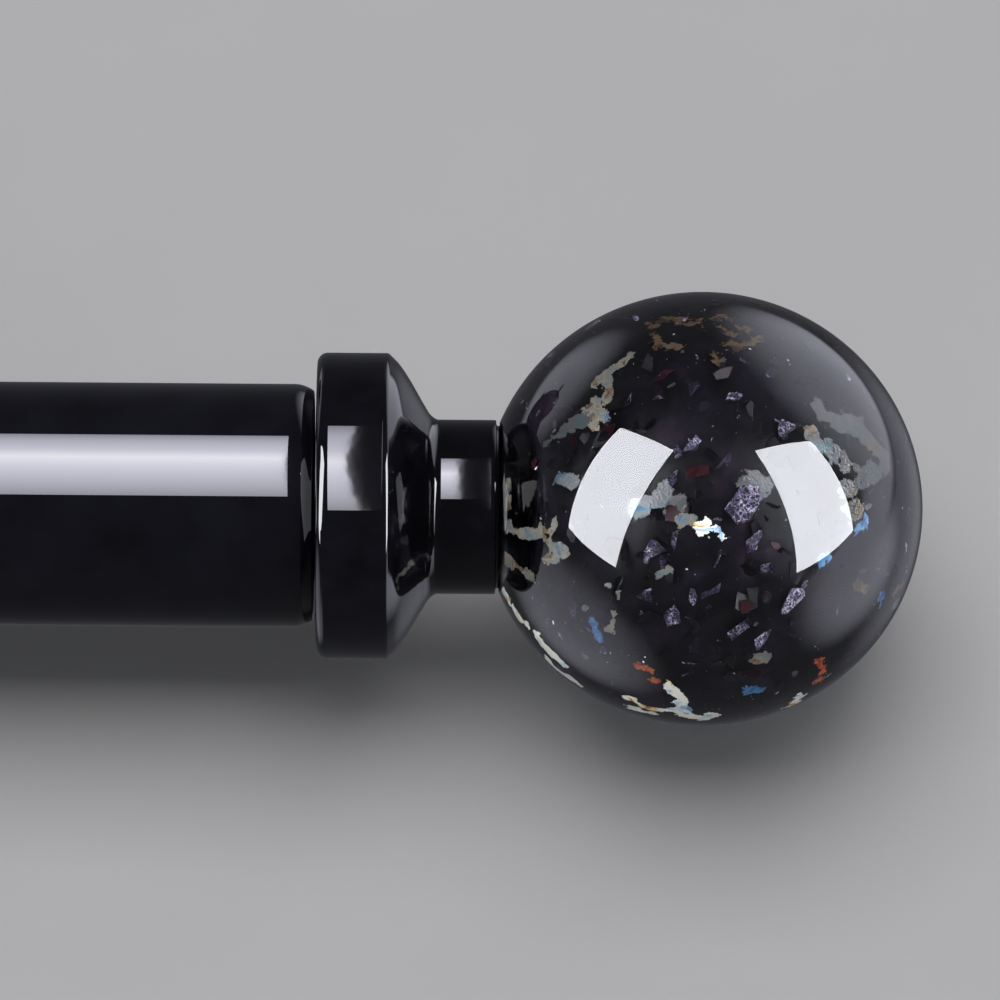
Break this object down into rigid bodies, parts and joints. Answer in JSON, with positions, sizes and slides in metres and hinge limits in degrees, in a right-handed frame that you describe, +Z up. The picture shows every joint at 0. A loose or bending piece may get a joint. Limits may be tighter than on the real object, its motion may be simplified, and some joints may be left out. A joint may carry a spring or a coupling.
{
  "type": "curtain rod with brackets",
  "caption": "Telescoping black curtain rod with screw-on clear ball finials, resting in two open wall brackets with adjustable projection.",
  "frame": {"origin": "centre of the right wall plate's back face, in the plane of the wall", "axes": "+X along the rod towards its right finial, +Y into the wall, +Z up; the rod's axis is parallel to X, in front of the wall"},
  "size_m": [0.8376, 0.1491, 0.0452],
  "materials": {
    "black_lacquer": "deep gloss black lacquer on steel",
    "clear_glass": "clear cast glass with foil flakes",
    "dark_glass": "polished black glass core",
    "black_steel": "satin black oxide on steel",
    "zinc_steel": "bright zinc plate",
    "brass": "turned brass",
    "rubber": "matt black rubber",
    "nylon": "moulded black nylon"
  },
  "bodies": {
    "wall_brackets": {"wall_plate_right": "black_lacquer", "sleeve_right": "black_lacquer", "wall_screw_right_upper": "black_steel", "wall_screw_right_lower": "black_steel", "wall_plate_left": "black_lacquer", "sleeve_left": "black_lacquer", "wall_screw_left_upper": "black_steel", "wall_screw_left_lower": "black_steel"},
    "arm_right": {"arm_right": "black_lacquer", "cradle_right": "black_lacquer", "cradle_pad_right": "rubber", "cradle_screw_right": "black_steel"},
    "arm_left": {"arm_left": "black_lacquer", "cradle_left": "black_lacquer", "cradle_pad_left": "rubber", "cradle_screw_left": "black_steel"},
    "rod_outer": {"outer_tube": "black_lacquer", "mouth_ring": "nylon", "end_plug_right": "nylon", "plug_bush_right": "brass"},
    "rod_inner": {"inner_tube": "black_lacquer", "inner_guide": "nylon", "end_plug_left": "nylon", "plug_bush_left": "brass"},
    "gasket_right": {"gasket_right": "rubber"},
    "finial_right": {"collar_right": "black_lacquer", "ball_casing_right": "clear_glass", "ball_core_right": "dark_glass", "ball_insert_right": "brass", "stud_right": "zinc_steel", "lock_nut_right": "zinc_steel"},
    "thumb_tip_right": {"thumb_tip_right": "nylon"},
    "thumb_screw_right": {"thumb_screw_right": "black_steel"},
    "lock_tip_right": {"lock_tip_right": "nylon"},
    "lock_screw_right": {"lock_screw_right": "black_steel"},
    "gasket_left": {"gasket_left": "rubber"},
    "finial_left": {"collar_left": "black_lacquer", "ball_casing_left": "clear_glass", "ball_core_left": "dark_glass", "ball_insert_left": "brass", "stud_left": "zinc_steel", "lock_nut_left": "zinc_steel"},
    "thumb_tip_left": {"thumb_tip_left": "nylon"},
    "thumb_screw_left": {"thumb_screw_left": "black_steel"},
    "lock_tip_left": {"lock_tip_left": "nylon"},
    "lock_screw_left": {"lock_screw_left": "black_steel"}
  },
  "joints": [
    {"name": "projection_right", "type": "slide", "parent": "wall_brackets", "child": "arm_right", "axis": [0, -1, 0], "range_m": [0, 0.03]},
    {"name": "projection_left", "type": "slide", "parent": "wall_brackets", "child": "arm_left", "axis": [0, -1, 0], "range_m": [0, 0.03]},
    {"name": "lift_out", "type": "slide", "parent": "arm_right", "child": "rod_outer", "axis": [0, 0, 1], "range_m": [0, 0.05]},
    {"name": "telescope", "type": "slide", "parent": "rod_outer", "child": "rod_inner", "axis": [-1, 0, 0], "range_m": [0, 0.508]},
    {"name": "finial_right_travel", "type": "slide", "parent": "rod_outer", "child": "gasket_right", "axis": [1, 0, 0], "range_m": [0, 0.01602]},
    {"name": "finial_right_spin", "type": "hinge", "parent": "gasket_right", "child": "finial_right", "pos_m": [0.075, -0.089, 0], "axis": [1, 0, 0], "range_deg": [0, 5760]},
    {"name": "thumb_right_travel", "type": "slide", "parent": "arm_right", "child": "thumb_tip_right", "axis": [0, -1, 0], "range_m": [0, 0.00601]},
    {"name": "thumb_right_spin", "type": "hinge", "parent": "thumb_tip_right", "child": "thumb_screw_right", "pos_m": [0, -0.1017, 0], "axis": [0, -1, 0], "range_deg": [0, 2700]},
    {"name": "lock_right_travel", "type": "slide", "parent": "wall_brackets", "child": "lock_tip_right", "axis": [0, 0, -1], "range_m": [0, 0.0042]},
    {"name": "lock_right_spin", "type": "hinge", "parent": "lock_tip_right", "child": "lock_screw_right", "pos_m": [0, -0.041, -0.0053], "axis": [0, 0, -1], "range_deg": [0, 2160]},
    {"name": "finial_left_travel", "type": "slide", "parent": "rod_inner", "child": "gasket_left", "axis": [-1, 0, 0], "range_m": [0, 0.01602]},
    {"name": "finial_left_spin", "type": "hinge", "parent": "gasket_left", "child": "finial_left", "pos_m": [-0.636, -0.089, 0], "axis": [-1, 0, 0], "range_deg": [0, 5760]},
    {"name": "thumb_left_travel", "type": "slide", "parent": "arm_left", "child": "thumb_tip_left", "axis": [0, -1, 0], "range_m": [0, 0.00601]},
    {"name": "thumb_left_spin", "type": "hinge", "parent": "thumb_tip_left", "child": "thumb_screw_left", "pos_m": [-0.561, -0.1001, 0], "axis": [0, -1, 0], "range_deg": [0, 2700]},
    {"name": "lock_left_travel", "type": "slide", "parent": "wall_brackets", "child": "lock_tip_left", "axis": [0, 0, -1], "range_m": [0, 0.0042]},
    {"name": "lock_left_spin", "type": "hinge", "parent": "lock_tip_left", "child": "lock_screw_left", "pos_m": [-0.561, -0.041, -0.0053], "axis": [0, 0, -1], "range_deg": [0, 2160]}
  ],
  "couplings": [
    {"joint": "projection_left", "follows": "projection_right", "ratio": 1},
    {"joint": "finial_right_travel", "follows": "finial_right_spin", "m_per_rad": 0.00015915},
    {"joint": "thumb_right_travel", "follows": "thumb_right_spin", "m_per_rad": 0.00012732},
    {"joint": "lock_right_travel", "follows": "lock_right_spin", "m_per_rad": 0.00011141},
    {"joint": "finial_left_travel", "follows": "finial_left_spin", "m_per_rad": 0.00015915},
    {"joint": "thumb_left_travel", "follows": "thumb_left_spin", "m_per_rad": 0.00012732},
    {"joint": "lock_left_travel", "follows": "lock_left_spin", "m_per_rad": 0.00011141}
  ]
}
